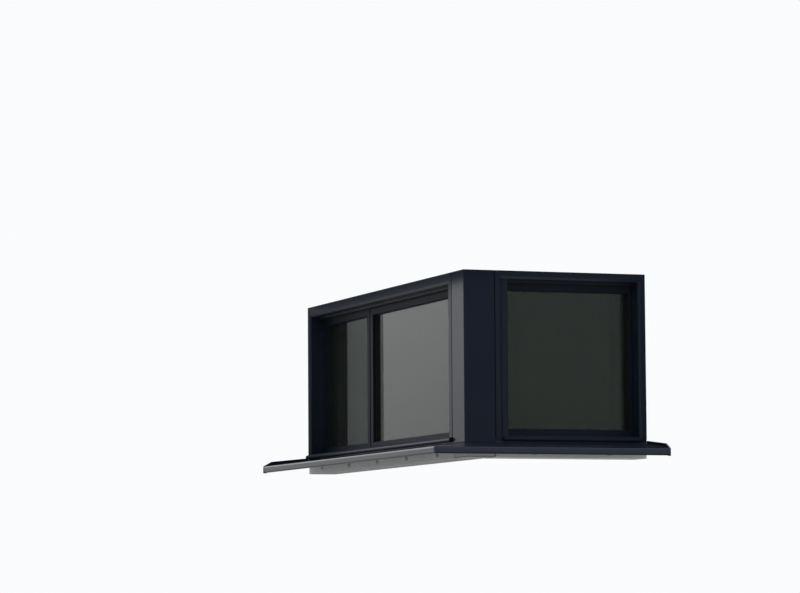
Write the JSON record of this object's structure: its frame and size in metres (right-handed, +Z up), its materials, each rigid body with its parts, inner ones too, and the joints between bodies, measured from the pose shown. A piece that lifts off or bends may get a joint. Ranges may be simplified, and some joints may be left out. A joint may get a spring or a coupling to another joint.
{
  "type": "corner window",
  "caption": "Anthracite corner window: a long and a short glazed unit meet at a clad post, over one deep folded sill with a mitred corner.",
  "frame": {"origin": "centre of the corner post's foot plate, at the underside of the base", "axes": "+Z up; +X along the short right unit and +Y along the long left unit, away from the corner; the outer faces look along -Y and -X"},
  "size_m": [1.394, 2.918, 1.03],
  "materials": {
    "frame_coating": "satin blue-black powder coat",
    "sill_coating": "satin blue-black powder coat, dusty",
    "window_glass": "clear float glass, dark seen from outside",
    "black_rubber": "matt",
    "edge_spacer": "matt black",
    "base_plastic": "matt pale grey",
    "post_steel": "galvanised",
    "insulation_foam": "grey rigid foam",
    "handle_metal": "satin anodised",
    "zinc_steel": "galvanised"
  },
  "bodies": {
    "root": {"fixing_lugs": "zinc_steel", "frame_seals": "black_rubber", "handles": "handle_metal", "hinges": "handle_metal", "left_base": "base_plastic", "left_fixed_light_beads": "frame_coating", "left_fixed_light_gaskets": "black_rubber", "left_fixed_light_glass": "window_glass", "left_fixed_light_rails": "frame_coating", "left_fixed_light_spacers": "edge_spacer", "left_fixed_light_stiles": "frame_coating", "left_frame_bottom": "frame_coating", "left_frame_head": "frame_coating", "left_frame_jamb_end": "frame_coating", "left_frame_jamb_post": "frame_coating", "left_meeting_post": "frame_coating", "left_sash_beads": "frame_coating", "left_sash_gaskets": "black_rubber", "left_sash_glass": "window_glass", "left_sash_rails": "frame_coating", "left_sash_spacers": "edge_spacer", "left_sash_stiles": "frame_coating", "left_sill": "sill_coating", "left_sill_cap": "sill_coating", "left_weather_bar": "frame_coating", "post_core": "post_steel", "post_cover_inside": "frame_coating", "post_cover_outside": "frame_coating", "post_insulation": "insulation_foam", "right_base": "base_plastic", "right_frame_bottom": "frame_coating", "right_frame_head": "frame_coating", "right_frame_jamb_end": "frame_coating", "right_frame_jamb_post": "frame_coating", "right_sash_beads": "frame_coating", "right_sash_gaskets": "black_rubber", "right_sash_glass": "window_glass", "right_sash_rails": "frame_coating", "right_sash_spacers": "edge_spacer", "right_sash_stiles": "frame_coating", "right_sill": "sill_coating", "right_sill_cap": "sill_coating", "right_weather_bar": "frame_coating", "sill_brackets": "zinc_steel", "sill_joint_cover": "sill_coating"}
  },
  "joints": []
}
